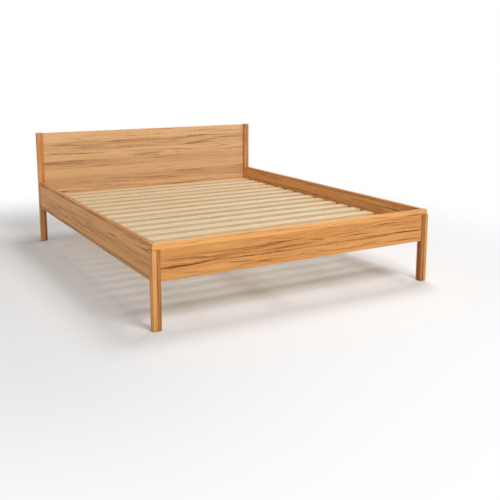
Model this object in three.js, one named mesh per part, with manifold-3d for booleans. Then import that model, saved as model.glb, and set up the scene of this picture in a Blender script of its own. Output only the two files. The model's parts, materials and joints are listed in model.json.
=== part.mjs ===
// A wooden double bed frame for a 160 x 200 cm mattress: two short foot legs, two tall head posts,
// a footboard, a headboard, two side rails hooked into the legs, and inside them the cleats,
// the centre beam with its levelling leg, and the slats.
// Millimetres, +Z up. The origin is on the floor under the middle of the frame. +Y is the head end.
import * as THREE from "three";
import { mergeVertices } from "three/addons/utils/BufferGeometryUtils.js";
import Module from "manifold-3d";

const wasm = await Module();
wasm.setup();

// ---- Driving dimensions ----

// The mattress and the room left round it
const mattressWidth = 1600;
const mattressLength = 2000;
const mattressSideGap = 12;
const mattressEndGap = 20.5;
const mattressSink = 90; // from the top of the rails down to the slats

// Legs and posts, square in section
const legWidth = 40;
const headPostTop = 762;

// Side rails and footboard
const boardThickness = 25;
const railHeight = 180;
const railTop = 417;
const topBand = 29; // the part of the rails that runs on over the foot legs
const railInset = 3; // how far the side rails stand back from the legs' faces
const footboardInset = 7;

// Headboard
const headboardThickness = 22;
const headboardDrop = 2.5; // from the top of the posts down to its top edge
const tongueThickness = 12;
const tongueDepth = 10;
const tongueShoulder = 20; // plain edge above and below each tongue

// Glides under the legs
const glideDiameter = 32;
const glideHeight = 3;

// Slats and the cleats that carry their ends
const slatCount = 16;
const slatWidth = 70;
const slatThickness = 20;
const slatEndGap = 4;
const slatFootGap = 12; // from the foot legs to the first slat
const slatHeadGap = 2; // from the last slat to the head posts
const cleatWidth = 25;
const cleatHeight = 30;
const cleatEndGap = 5;

// Webbing stapled under the slats, which ties them together
const strapWidth = 25;
const strapThickness = 1.2;
const strapOffset = 430; // from the middle line
const strapEndMargin = 12;

// Centre beam in its two steel shoes
const beamWidth = 40;
const beamHeight = 60;
const shoeThickness = 3;
const shoeDepth = 50;
const shoeHeight = 56;
const shoeFlange = 22;
const shoeScrewHole = 5.5;
const shoeScrewSpacing = 28;
const beamBoltDiameter = 6;
const beamBoltHead = 14;
const beamBoltHeadHeight = 3;
const beamBoltTail = 3; // thread that stands out past the nut
const nutAcrossFlats = 10;
const nutHeight = 5;

// Centre leg, its top plate and its levelling foot
const centreLegWidth = 40;
const legPlateWidth = 38;
const legPlateLength = 116;
const legPlateThickness = 3;
const plateScrewHole = 5.5;
const plateScrewInset = 14;
const padDiameter = 38;
const padHeight = 8;
const padRimHeight = 3;
const padTopDiameter = 22;
const spindleDiameter = 10;
const spindlePinDiameter = 8;
const spindlePinDepth = 5;
const collarLift = 2; // from the pad's top to the spanner collar
const collarHeight = 6;
const collarAcrossFlats = 17;
const levellingTravel = 12; // each way
const sleeveDiameter = 16;
const sleeveLength = 25;
const sleeveFlange = 22;
const sleeveFlangeHeight = 1.5;

// Hook-in fittings between the side rails and the legs
const fittingWidth = 16;
const fittingHeight = 120;
const fittingThickness = 2.5;
const hookSpacing = 60;
const hookWidth = 3;
const hookHeight = 14;
const hookDrop = 8; // how far a hook reaches down behind its plate
const hookLip = 3;
const pocketDepth = 8; // behind the slotted plate
const pocketSide = 2; // room beside each hook

// Dowels between the footboard and the foot legs
const dowelDiameter = 10;
const dowelLength = 50;
const dowelSpacing = 75;

// Clearances
const seat = 0.3; // between faces that rest on or butt against each other
const endPlay = 3; // free room at the blind end of a hole
const overcut = 5; // how far a cutting shape runs past the face that it opens
const roundSides = 32;

// ---- Places worked out from them ----

const halfInner = mattressWidth / 2 + mattressSideGap;
const railOuter = halfInner + boardThickness;
const legOuter = railOuter + railInset;
const legInner = legOuter - legWidth;
const innerLength = mattressLength + 2 * mattressEndGap;
const overallLength = footboardInset + boardThickness + innerLength + headboardThickness;
const legFront = -overallLength / 2;
const legBack = legFront + legWidth;
const footboardFront = legFront + footboardInset;
const footboardBack = footboardFront + boardThickness;
const postBack = overallLength / 2;
const postFront = postBack - legWidth;
const headboardFront = postBack - headboardThickness;
const railBottom = railTop - railHeight;
const bandBottom = railTop - topBand;
const legTop = bandBottom - seat;
const legBottom = glideHeight + seat;
const headboardTop = headPostTop - headboardDrop;

const slatTop = railTop - mattressSink;
const slatBottom = slatTop - slatThickness;
const supportTop = slatBottom - seat; // top of the cleats and of the centre beam
const slatZoneStart = legBack + slatFootGap;
const slatZoneEnd = postFront - slatHeadGap;
const slatPitch = (slatZoneEnd - slatZoneStart - slatWidth) / (slatCount - 1);

const beamBottom = supportTop - beamHeight;
const shoeBase = beamBottom - seat - shoeThickness;
const cheekInside = beamWidth / 2 + seat;
const cheekOutside = cheekInside + shoeThickness;
const beamBoltZ = beamBottom + beamHeight / 2;

const legPlateTop = beamBottom - seat;
const centreLegTop = legPlateTop - legPlateThickness - seat;
const collarBottom = padHeight + collarLift;
const sleeveBottom = collarBottom + collarHeight + levellingTravel + endPlay;
const centreLegBottom = sleeveBottom + sleeveFlangeHeight + seat;
const sleeveTop = centreLegBottom + sleeveLength;
const spindleTop = sleeveTop + levellingTravel + endPlay;
const pinBottom = padHeight - spindlePinDepth;

const fittingMid = (railBottom + bandBottom) / 2;
const fittingX = (halfInner + railOuter) / 2;

// ---- Finishes ----

function finish(color, roughness, metalness) {
  return new THREE.MeshStandardMaterial({ color, roughness, metalness });
}

const beech = finish(0xc98d56, 0.5, 0);
const paleWood = finish(0xe0c496, 0.65, 0);
const steel = finish(0xb4b7ba, 0.35, 1);
const blackPlastic = finish(0x26272a, 0.55, 0);
const felt = finish(0x6b5f52, 0.95, 0);
const webbing = finish(0xd9d5cb, 0.9, 0);

// ---- Shapes ----

// A block between two values on each axis, in either order.
function block([x0, x1], [y0, y1], [z0, z1]) {
  const geometry = new THREE.BoxGeometry(Math.abs(x1 - x0), Math.abs(y1 - y0), Math.abs(z1 - z0));
  return geometry.translate((x0 + x1) / 2, (y0 + y1) / 2, (z0 + z1) / 2);
}

// An upright round bar. With 6 sides and across-flats / sqrt(3) as its radius it is a hexagon.
function uprightBar(radius, z0, z1, sides = roundSides) {
  const geometry = new THREE.CylinderGeometry(radius, radius, z1 - z0, sides);
  return geometry.rotateX(Math.PI / 2).translate(0, 0, (z0 + z1) / 2);
}

// A round bar along X.
function crossBar(radius, x0, x1, sides = roundSides) {
  const geometry = new THREE.CylinderGeometry(radius, radius, Math.abs(x1 - x0), sides);
  return geometry.rotateZ(Math.PI / 2).translate((x0 + x1) / 2, 0, 0);
}

// An upright prism on a flat outline of [x, y] corners.
function uprightPrism(corners, z0, z1) {
  const outline = new THREE.Shape(corners.map(([x, y]) => new THREE.Vector2(x, y)));
  const geometry = new THREE.ExtrudeGeometry(outline, { depth: z1 - z0, bevelEnabled: false });
  return geometry.translate(0, 0, z0);
}

// A turned piece about the Z axis. Its profile of [radius, z] corners starts and ends on the axis.
function turned(profile) {
  const points = profile.map(([r, z]) => new THREE.Vector2(r, z));
  return new THREE.LatheGeometry(points, roundSides).rotateX(Math.PI / 2);
}

function hexRadius(acrossFlats) {
  return acrossFlats / Math.sqrt(3);
}

// ---- Joining and cutting ----

function solidOf(geometry) {
  const bare = geometry.clone();
  bare.deleteAttribute("normal");
  bare.deleteAttribute("uv");
  const merged = mergeVertices(bare);
  const vertProperties = merged.attributes.position.array;
  const triVerts = new Uint32Array(merged.index.array);
  return new wasm.Manifold(new wasm.Mesh({ numProp: 3, vertProperties, triVerts }));
}

function geometryOf(solid) {
  const { vertProperties, triVerts } = solid.getMesh();
  const geometry = new THREE.BufferGeometry();
  geometry.setAttribute("position", new THREE.BufferAttribute(vertProperties, 3));
  geometry.setIndex(new THREE.BufferAttribute(triVerts, 1));
  const flat = geometry.toNonIndexed();
  flat.computeVertexNormals();
  return flat;
}

// The first shape with the others joined on, and then the cuts taken away.
function carve(shape, joins, cuts) {
  let solid = solidOf(shape);
  for (const join of joins) {
    solid = solid.add(solidOf(join));
  }
  for (const cut of cuts) {
    solid = solid.subtract(solidOf(cut));
  }
  return geometryOf(solid);
}

const bed = new THREE.Group();

function piece(name, geometry, material) {
  const mesh = new THREE.Mesh(geometry, material);
  mesh.name = name;
  bed.add(mesh);
  return mesh;
}

const sides = [
  ["left", -1],
  ["right", 1],
];
const ends = [
  ["foot", -1],
  ["head", 1],
];

// ---- Hook-in fittings ----

// The face of the leg or post that a side rail butts against, and the rail's own end.
function jointFace(end) {
  return end > 0 ? postFront : legBack;
}

function hookLevels() {
  return [fittingMid - hookSpacing / 2, fittingMid + hookSpacing / 2];
}

// A block given by how far it reaches from the joint face into the leg, negative into the rail.
function fittingBlock(side, end, halfWidth, [d0, d1], zRange) {
  const face = jointFace(end);
  const x = side * fittingX;
  return block([x - halfWidth, x + halfWidth], [face + end * d0, face + end * d1], zRange);
}

function plateLevels(extra) {
  return [fittingMid - fittingHeight / 2 - extra, fittingMid + fittingHeight / 2 + extra];
}

// The shallow mortise that lets a hook plate into the end of a rail.
function hookPlateMortise(side, end) {
  const depths = [-2 * seat - fittingThickness, overcut];
  return fittingBlock(side, end, fittingWidth / 2 + seat, depths, plateLevels(seat));
}

// The mortise for the slotted plate in the leg, with a deeper pocket behind each slot.
function slottedPlateMortises(side, end) {
  const plateDepths = [-overcut, fittingThickness + seat];
  const pocketDepths = [0, fittingThickness + pocketDepth];
  const mortise = fittingBlock(side, end, fittingWidth / 2 + seat, plateDepths, plateLevels(seat));
  const pockets = hookLevels().map((level) => {
    const low = level - hookHeight / 2 - hookDrop - pocketSide;
    const high = level + hookHeight / 2 + hookDrop + pocketSide;
    return fittingBlock(side, end, hookWidth / 2 + pocketSide, pocketDepths, [low, high]);
  });
  return [mortise, ...pockets];
}

function hookPlate(side, end) {
  const plate = fittingBlock(
    side,
    end,
    fittingWidth / 2,
    [-seat - fittingThickness, -seat],
    plateLevels(0),
  );
  const reach = fittingThickness + seat + hookLip;
  const hooks = hookLevels().flatMap((level) => {
    const low = level - hookHeight / 2;
    const high = level + hookHeight / 2;
    const neck = fittingBlock(side, end, hookWidth / 2, [-seat - hookLip / 2, reach], [low, high]);
    const lipDepths = [reach - hookLip, reach];
    const lip = fittingBlock(side, end, hookWidth / 2, lipDepths, [low - hookDrop, high]);
    return [neck, lip];
  });
  return carve(plate, hooks, []);
}

function slottedPlate(side, end) {
  const plate = fittingBlock(side, end, fittingWidth / 2, [0, fittingThickness], plateLevels(0));
  const slots = hookLevels().map((level) => {
    const low = level - hookHeight / 2 - seat;
    const high = level + hookHeight / 2 + hookDrop + seat;
    const depths = [-overcut, fittingThickness + overcut];
    return fittingBlock(side, end, hookWidth / 2 + seat, depths, [low, high]);
  });
  return carve(plate, [], slots);
}

// ---- Dowels ----

const dowelLevels = [fittingMid - dowelSpacing / 2, fittingMid + dowelSpacing / 2];
const dowelY = (footboardFront + footboardBack) / 2;

// A bar on a dowel's line. With a clearance it is the hole that the dowel is glued in.
function dowelBar(side, level, clearance) {
  const reach = dowelLength / 2 + clearance;
  const middle = side * legInner;
  const bar = crossBar(dowelDiameter / 2 + clearance, middle - reach, middle + reach);
  return bar.translate(0, dowelY, level);
}

// ---- Legs and posts ----

function footLeg(side) {
  const xRange = [side * legInner, side * legOuter];
  const blank = block(xRange, [legFront, legBack], [legBottom, legTop]);
  const holes = dowelLevels.map((level) => dowelBar(side, level, seat));
  return carve(blank, [], [...slottedPlateMortises(side, -1), ...holes]);
}

const tongueFront = (headboardFront + postBack - tongueThickness) / 2;
const tongueBack = tongueFront + tongueThickness;
const tongueLow = railBottom + tongueShoulder;
const tongueHigh = headboardTop - tongueShoulder;

function headPost(side) {
  const xRange = [side * legInner, side * legOuter];
  const blank = block(xRange, [postFront, postBack], [legBottom, headPostTop]);
  const groove = block(
    [side * (legInner - overcut), side * (legInner + tongueDepth + seat)],
    [tongueFront - seat, tongueBack + seat],
    [tongueLow - seat, tongueHigh + seat],
  );
  return carve(blank, [], [groove, ...slottedPlateMortises(side, 1)]);
}

// ---- Boards of the frame ----

// A prism on one side of the mitre plane at a foot corner: towards +1 takes the side rail's half,
// -1 the footboard's. Each half of the corner stays half a seat away from the plane.
function mitrePrism(side, towards) {
  const slant = Math.SQRT1_2;
  const along = [-side * slant, slant]; // from the outer corner to the inner one
  const across = [side * slant, slant]; // from the footboard's half to the rail's
  const reach = boardThickness * Math.SQRT2 + overcut;
  const corner = (a, c) => [
    side * railOuter + along[0] * a + across[0] * c,
    footboardFront + along[1] * a + across[1] * c,
  ];
  const near = (-towards * seat) / 2;
  const far = towards * reach;
  const corners = [corner(-overcut, near), corner(reach, near), corner(reach, far)];
  corners.push(corner(-overcut, far));
  return uprightPrism(corners, bandBottom - overcut, railTop + overcut);
}

// The space below the top band that a foot leg takes out of a board.
function legNotch(side, xFrom, yTo) {
  return block(
    [side * xFrom, side * (railOuter + overcut)],
    [legFront - overcut, yTo],
    [railBottom - overcut, bandBottom],
  );
}

function sideRail(side) {
  const blank = block(
    [side * halfInner, side * railOuter],
    [footboardFront, postFront - seat],
    [railBottom, railTop],
  );
  const notch = legNotch(side, halfInner - overcut, legBack + seat);
  const mortises = ends.map(([, end]) => hookPlateMortise(side, end));
  return carve(blank, [], [notch, mitrePrism(side, -1), ...mortises]);
}

function footboard() {
  const blank = block(
    [-railOuter, railOuter],
    [footboardFront, footboardBack],
    [railBottom, railTop],
  );
  const cuts = sides.flatMap(([, side]) => [
    legNotch(side, legInner - seat, footboardBack + overcut),
    mitrePrism(side, 1),
    ...dowelLevels.map((level) => dowelBar(side, level, seat)),
  ]);
  return carve(blank, [], cuts);
}

function headboard() {
  const panelEdge = legInner - seat;
  const blank = block(
    [-panelEdge, panelEdge],
    [headboardFront, postBack],
    [railBottom, headboardTop],
  );
  const tongueEdge = legInner + tongueDepth;
  const tongues = block(
    [-tongueEdge, tongueEdge],
    [tongueFront, tongueBack],
    [tongueLow, tongueHigh],
  );
  return carve(blank, [tongues], []);
}

// ---- Support for the slats ----

function cleat(side) {
  return block(
    [side * (halfInner - seat), side * (halfInner - seat - cleatWidth)],
    [legBack + cleatEndGap, postFront - cleatEndGap],
    [supportTop - cleatHeight, supportTop],
  );
}

function slat(index) {
  const reach = halfInner - slatEndGap;
  const start = slatZoneStart + index * slatPitch;
  return block([-reach, reach], [start, start + slatWidth], [slatBottom, slatTop]);
}

function strap(side) {
  const middle = side * strapOffset;
  return block(
    [middle - strapWidth / 2, middle + strapWidth / 2],
    [slatZoneStart + strapEndMargin, slatZoneEnd - strapEndMargin],
    [slatBottom - seat - strapThickness, slatBottom - seat],
  );
}

// The board face that a shoe is screwed to, and the way from it into the bed.
function shoeFace(end) {
  return end > 0 ? headboardFront : footboardBack;
}

function shoeY(end, depth) {
  return shoeFace(end) - end * (seat + depth);
}

function beamBoltY(end) {
  return shoeY(end, (shoeThickness + shoeDepth) / 2);
}

function beamShoe(end) {
  const flangeReach = cheekOutside + shoeFlange;
  const plateY = [shoeY(end, 0), shoeY(end, shoeThickness)];
  const cheekY = [shoeY(end, 0), shoeY(end, shoeDepth)];
  const topZ = shoeBase + shoeHeight;
  const plate = block([-flangeReach, flangeReach], plateY, [shoeBase, topZ]);
  const base = block([-cheekOutside, cheekOutside], cheekY, [shoeBase, shoeBase + shoeThickness]);
  const cheeks = sides.map(([, side]) =>
    block([side * cheekInside, side * cheekOutside], cheekY, [shoeBase, topZ]),
  );
  const boltRadius = beamBoltDiameter / 2 + seat;
  const reach = cheekOutside + overcut;
  const boltHole = crossBar(boltRadius, -reach, reach).translate(0, beamBoltY(end), beamBoltZ);
  const screwHoles = sides.flatMap(([, side]) =>
    [-1, 1].map((step) => {
      const depth = shoeThickness + 2 * overcut;
      const hole = uprightBar(shoeScrewHole / 2, -depth / 2, depth / 2).rotateX(Math.PI / 2);
      const x = side * (cheekOutside + shoeFlange / 2);
      const z = shoeBase + (shoeHeight + step * shoeScrewSpacing) / 2;
      return hole.translate(x, shoeY(end, shoeThickness / 2), z);
    }),
  );
  return carve(plate, [base, ...cheeks], [boltHole, ...screwHoles]);
}

function centreBeam() {
  const beamEnd = (end) => shoeY(end, shoeThickness + seat);
  const blank = block(
    [-beamWidth / 2, beamWidth / 2],
    [beamEnd(-1), beamEnd(1)],
    [beamBottom, supportTop],
  );
  const reach = beamWidth / 2 + overcut;
  const holes = ends.map(([, end]) =>
    crossBar(beamBoltDiameter / 2 + seat, -reach, reach).translate(0, beamBoltY(end), beamBoltZ),
  );
  return carve(blank, [], holes);
}

// A low-headed bolt with its head on the left cheek and its end past the nut on the right one.
function beamBolt(end) {
  const headInside = -cheekOutside - seat;
  const tail = cheekOutside + seat + nutHeight + beamBoltTail;
  const shank = crossBar(beamBoltDiameter / 2, headInside - beamBoltHeadHeight / 2, tail);
  const head = crossBar(beamBoltHead / 2, headInside - beamBoltHeadHeight, headInside);
  return carve(shank, [head], []).translate(0, beamBoltY(end), beamBoltZ);
}

function beamNut(end) {
  const start = cheekOutside + seat;
  const nut = crossBar(hexRadius(nutAcrossFlats), start, start + nutHeight, 6);
  const hole = crossBar(beamBoltDiameter / 2 + seat, start - overcut, start + nutHeight + overcut);
  return carve(nut, [], [hole]).translate(0, beamBoltY(end), beamBoltZ);
}

// ---- Centre leg and levelling foot ----

function legPlate() {
  const blank = block(
    [-legPlateWidth / 2, legPlateWidth / 2],
    [-legPlateLength / 2, legPlateLength / 2],
    [legPlateTop - legPlateThickness, legPlateTop],
  );
  const spread = legPlateLength / 2 - plateScrewInset;
  const low = legPlateTop - legPlateThickness - overcut;
  const holes = [-spread, spread].flatMap((y) =>
    [-legPlateWidth / 4, legPlateWidth / 4].map((x) =>
      uprightBar(plateScrewHole / 2, low, legPlateTop + overcut).translate(x, y, 0),
    ),
  );
  return carve(blank, [], holes);
}

function centreLeg() {
  const half = centreLegWidth / 2;
  const blank = block([-half, half], [-half, half], [centreLegBottom, centreLegTop]);
  const boreBottom = centreLegBottom - overcut;
  const sleeveBore = uprightBar(sleeveDiameter / 2 + seat, boreBottom, sleeveTop + seat);
  const boreTop = spindleTop + levellingTravel + endPlay;
  const spindleBore = uprightBar(spindleDiameter / 2 + 2 * seat, boreBottom, boreTop);
  return carve(blank, [], [sleeveBore, spindleBore]);
}

function threadedSleeve() {
  const body = uprightBar(sleeveDiameter / 2, sleeveBottom, sleeveTop);
  const flange = uprightBar(sleeveFlange / 2, sleeveBottom, sleeveBottom + sleeveFlangeHeight);
  const boreRadius = spindleDiameter / 2 + seat;
  const bore = uprightBar(boreRadius, sleeveBottom - overcut, sleeveTop + overcut);
  return carve(body, [flange], [bore]);
}

function levellingSpindle() {
  const pin = spindlePinDiameter / 2;
  const rod = spindleDiameter / 2;
  const turnedRod = turned([
    [0, pinBottom + seat],
    [pin, pinBottom + seat],
    [pin, padHeight + seat],
    [rod, padHeight + seat],
    [rod, spindleTop - 1],
    [rod - 1, spindleTop],
    [0, spindleTop],
  ]);
  const collar = uprightBar(hexRadius(collarAcrossFlats), collarBottom, collarBottom + collarHeight, 6);
  return carve(turnedRod, [collar], []);
}

function levellingPad() {
  const rim = padDiameter / 2;
  const body = turned([
    [0, 0],
    [rim - 1, 0],
    [rim, 1],
    [rim, padRimHeight],
    [padTopDiameter / 2, padHeight],
    [0, padHeight],
  ]);
  const socket = uprightBar(spindlePinDiameter / 2 + seat, pinBottom, padHeight + overcut);
  return carve(body, [], [socket]);
}

// ---- The assembly ----

function glide(x, y) {
  return uprightBar(glideDiameter / 2, 0, glideHeight).translate(x, y, 0);
}

const legMiddle = legOuter - legWidth / 2;

piece("footboard", footboard(), beech);
piece("headboard", headboard(), beech);
for (const [sideName, side] of sides) {
  piece(`foot_leg_${sideName}`, footLeg(side), beech);
  piece(`head_post_${sideName}`, headPost(side), beech);
  piece(`side_rail_${sideName}`, sideRail(side), beech);
  piece(`slat_cleat_${sideName}`, cleat(side), paleWood);
  piece(`slat_strap_${sideName}`, strap(side), webbing);
  piece(`glide_foot_${sideName}`, glide(side * legMiddle, legFront + legWidth / 2), felt);
  piece(`glide_head_${sideName}`, glide(side * legMiddle, postBack - legWidth / 2), felt);
  for (const [endName, end] of ends) {
    piece(`hook_plate_${endName}_${sideName}`, hookPlate(side, end), steel);
    piece(`slotted_plate_${endName}_${sideName}`, slottedPlate(side, end), steel);
  }
  dowelLevels.forEach((level, i) => {
    piece(`dowel_${i + 1}_${sideName}`, dowelBar(side, level, 0), paleWood);
  });
}
for (const [endName, end] of ends) {
  piece(`beam_shoe_${endName}`, beamShoe(end), steel);
  piece(`beam_bolt_${endName}`, beamBolt(end), steel);
  piece(`beam_nut_${endName}`, beamNut(end), steel);
}
piece("centre_beam", centreBeam(), paleWood);
piece("centre_leg_plate", legPlate(), steel);
piece("centre_leg", centreLeg(), paleWood);
piece("threaded_sleeve", threadedSleeve(), steel);
piece("levelling_spindle", levellingSpindle(), steel);
piece("levelling_pad", levellingPad(), blackPlastic);
for (let i = 0; i < slatCount; i += 1) {
  piece(`slat_${String(i + 1).padStart(2, "0")}`, slat(i), paleWood);
}

export default bed;
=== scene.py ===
# A low double bed frame in oiled heart beech, seen from its foot end.
# Every piece is in metres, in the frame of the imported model: +X across, +Y to the head end, +Z up.
import json
import math

import bmesh
import bpy
import numpy as np
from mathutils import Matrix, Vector

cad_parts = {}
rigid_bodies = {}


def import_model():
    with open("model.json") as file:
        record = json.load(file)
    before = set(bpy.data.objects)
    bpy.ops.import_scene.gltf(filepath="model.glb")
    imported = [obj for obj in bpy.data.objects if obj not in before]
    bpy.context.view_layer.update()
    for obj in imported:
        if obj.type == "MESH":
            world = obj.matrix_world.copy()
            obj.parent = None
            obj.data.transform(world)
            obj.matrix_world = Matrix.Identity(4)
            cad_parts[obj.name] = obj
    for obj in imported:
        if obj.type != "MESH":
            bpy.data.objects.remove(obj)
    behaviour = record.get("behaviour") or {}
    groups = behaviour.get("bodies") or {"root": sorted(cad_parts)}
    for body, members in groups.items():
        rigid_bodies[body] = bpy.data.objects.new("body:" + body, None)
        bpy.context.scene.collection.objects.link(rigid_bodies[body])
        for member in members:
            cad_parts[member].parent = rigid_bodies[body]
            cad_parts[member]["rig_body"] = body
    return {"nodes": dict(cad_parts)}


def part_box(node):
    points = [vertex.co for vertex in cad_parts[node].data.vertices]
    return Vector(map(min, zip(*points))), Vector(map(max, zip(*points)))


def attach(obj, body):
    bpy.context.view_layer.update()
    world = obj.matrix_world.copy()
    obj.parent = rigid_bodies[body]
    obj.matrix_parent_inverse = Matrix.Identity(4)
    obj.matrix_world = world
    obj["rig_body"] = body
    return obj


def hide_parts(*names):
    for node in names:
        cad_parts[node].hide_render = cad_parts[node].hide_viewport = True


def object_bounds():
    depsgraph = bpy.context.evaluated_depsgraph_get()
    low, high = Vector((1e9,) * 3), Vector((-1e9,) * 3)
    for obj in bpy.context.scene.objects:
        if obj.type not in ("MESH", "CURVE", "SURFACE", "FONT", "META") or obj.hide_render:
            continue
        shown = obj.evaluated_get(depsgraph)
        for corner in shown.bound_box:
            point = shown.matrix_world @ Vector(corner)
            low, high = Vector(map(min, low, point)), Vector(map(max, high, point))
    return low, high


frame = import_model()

cad_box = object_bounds()
scene = bpy.context.scene


# ---- Camera ----
# It stands to the left of the foot end, at the height of a seated visitor's eyes, and looks a
# little down the length of the bed.
camera_data = bpy.data.cameras.new("camera")
camera_data.lens = 52.0
camera_data.shift_x = 0.0046
camera_data.shift_y = -0.112
camera = bpy.data.objects.new("camera", camera_data)
camera.location = (-2.041, -4.029, 1.214)
camera.rotation_euler = (math.radians(80), 0, math.radians(-29.7))
scene.collection.objects.link(camera)
scene.camera = camera
scene.view_settings.view_transform = "Standard"


# ---- Floor and light ----
# A white studio floor that runs out into a white background, an even sky, a wide soft lamp high
# up to the right of the bed, and another as high in front of its foot end.
class Recipe:
    """A node tree in the making. Each method adds its nodes and returns the socket they give."""

    def __init__(self, owner):
        owner.use_nodes = True
        self.owner = owner
        self.tree = owner.node_tree
        self.tree.nodes.clear()

    def node(self, kind, inputs=None, give=0, **settings):
        made = self.tree.nodes.new("ShaderNode" + kind)
        for key, value in settings.items():
            setattr(made, key, value)
        for key, value in (inputs or {}).items():
            if isinstance(value, bpy.types.NodeSocket):
                self.tree.links.new(value, made.inputs[key])
            else:
                made.inputs[key].default_value = value
        return made.outputs[give]

    def math(self, operation, *values):
        return self.node("Math", dict(enumerate(values)), operation=operation)

    def total(self, first, *others):
        for other in others:
            first = self.math("ADD", first, other)
        return first

    def root_of_squares(self, *values):
        return self.math("SQRT", self.total(*(self.math("MULTIPLY", v, v) for v in values)))

    def scaled(self, value, factor, offset=0.0):
        return self.math("MULTIPLY_ADD", value, factor, offset)

    def blend(self, share, first, second, way="MIX"):
        inputs = {0: share, 6: first, 7: second}
        return self.node("Mix", inputs, 2, data_type="RGBA", blend_type=way, clamp_factor=True)

    def fade(self, value, start, end):
        """0 up to start, 1 from end on, and an S-shaped change between them."""
        return self.node("MapRange", {0: value, 1: start, 2: end}, interpolation_type="SMOOTHSTEP")

    def place(self, give=3):
        """The object coordinates, or with give=1 the normal, as x, y and z."""
        split = self.tree.nodes.new("ShaderNodeSeparateXYZ")
        self.tree.links.new(self.node("TexCoord", give=give), split.inputs[0])
        return tuple(split.outputs)

    def vector(self, *values):
        return self.node("CombineXYZ", dict(enumerate(values)))

    def noise(self, values, detail=2.0, roughness=0.5):
        inputs = {"Vector": self.vector(*values), "Scale": 1.0}
        inputs.update({"Detail": detail, "Roughness": roughness})
        return self.node("TexNoise", inputs)

    def surface(self, shader, kind="OutputMaterial"):
        output = self.tree.nodes.new("ShaderNode" + kind)
        self.tree.links.new(shader, output.inputs["Surface"])
        return self.owner


# The floor is matt white near the bed. From fade_start off its outline to fade_end it turns into
# the white background.
fade_start, fade_end = 0.35, 1.9
bed_half = [float(c) for c in cad_box[1][:2]]
floor_recipe = Recipe(bpy.data.materials.new("studio_floor"))
beyond = []
for c, half in zip(floor_recipe.place(), bed_half):
    past = floor_recipe.math("SUBTRACT", floor_recipe.math("ABSOLUTE", c), half)
    beyond.append(floor_recipe.math("MAXIMUM", 0.0, past))
floor_reach = floor_recipe.root_of_squares(*beyond)
pure_white = (1.0, 1.0, 1.0, 1.0)
floor_matt = floor_recipe.node("BsdfDiffuse", {"Color": (0.93, 0.93, 0.93, 1.0)})
floor_glow = floor_recipe.node("Emission", {"Color": pure_white, "Strength": 1.0})
floor_share = floor_recipe.fade(floor_reach, fade_start, fade_end)
floor_recipe.surface(floor_recipe.node("MixShader", {0: floor_share, 1: floor_matt, 2: floor_glow}))

floor_half = 30
floor_mesh = bpy.data.meshes.new("studio_floor")
floor_corners = [(x * floor_half, y * floor_half, 0) for x, y in ((-1, -1), (1, -1), (1, 1), (-1, 1))]
floor_mesh.from_pydata(floor_corners, [], [(0, 1, 2, 3)])
floor_mesh.materials.append(floor_recipe.owner)
floor = bpy.data.objects.new("studio_floor", floor_mesh)
scene.collection.objects.link(floor)

sky = Recipe(bpy.data.worlds.new("studio_sky"))
scene.world = sky.owner
sky_rays = sky.tree.nodes.new("ShaderNodeLightPath").outputs
sky_mirrored = sky.math("MAXIMUM", sky_rays["Is Glossy Ray"], sky_rays["Is Transmission Ray"])
sky_seen = sky.math("MAXIMUM", sky_rays["Is Camera Ray"], sky_mirrored)
sky_light = sky.node("Background", {"Color": pure_white, "Strength": 0.31})
sky_white = sky.node("Background", {"Color": pure_white, "Strength": 1.0})
sky.surface(sky.node("MixShader", {0: sky_seen, 1: sky_light, 2: sky_white}), "OutputWorld")


def soft_lamp(name, place, aim, size, watts):
    """A square area lamp at place that faces aim."""
    lamp = bpy.data.lights.new(name, "AREA")
    lamp.size = size
    lamp.energy = watts
    holder = bpy.data.objects.new(name, lamp)
    holder.location = place
    holder.rotation_euler = (Vector(aim) - Vector(place)).to_track_quat("-Z", "Y").to_euler()
    scene.collection.objects.link(holder)


lamp_size = 2.0
soft_lamp("overhead_lamp", (1.7, 0.5, 4.4), (0.0, 0.0, 0.2), lamp_size, 90)
soft_lamp("front_lamp", (0.2, -4.6, 4.4), (0.0, -0.3, 0.3), lamp_size, 158)


# ---- Foot legs ----
# Square legs glued up from two staves of heart beech, with eased edges. The footboard is dowelled
# to them, and the top band of the rails runs over their ends.
def add_piece(name, mesh, body, nodes=()):
    """A finished mesh as a shown piece that rides on a body and stands for those CAD nodes."""
    piece = bpy.data.objects.new(name, mesh)
    scene.collection.objects.link(piece)
    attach(piece, body)
    if nodes:
        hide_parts(*nodes)
    return piece


def dress(piece, material):
    """Gives a piece its one material, in a single slot."""
    piece.data.materials.clear()
    piece.data.materials.append(material)


def eased(node, radius, segments=2):
    """A copy of a CAD node's mesh with its flat faces made whole and its edges rounded over.
    It rides on the node's body and stands for the node."""
    source = frame["nodes"][node]
    shape = bmesh.new()
    shape.from_mesh(source.data)
    bmesh.ops.remove_doubles(shape, verts=shape.verts, dist=1e-6)
    bmesh.ops.dissolve_limit(shape, angle_limit=math.radians(1), verts=shape.verts, edges=shape.edges)
    edges = [e for e in shape.edges if e.is_manifold and e.calc_face_angle(0) > math.radians(30)]
    bmesh.ops.bevel(shape, geom=edges, offset=radius, segments=segments, profile=0.5,
                    affect="EDGES", clamp_overlap=True)
    bmesh.ops.recalc_face_normals(shape, faces=shape.faces)
    mesh = bpy.data.meshes.new(node + "_eased")
    shape.to_mesh(mesh)
    shape.free()
    return add_piece(mesh.name, mesh, source["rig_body"], [node])


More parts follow.
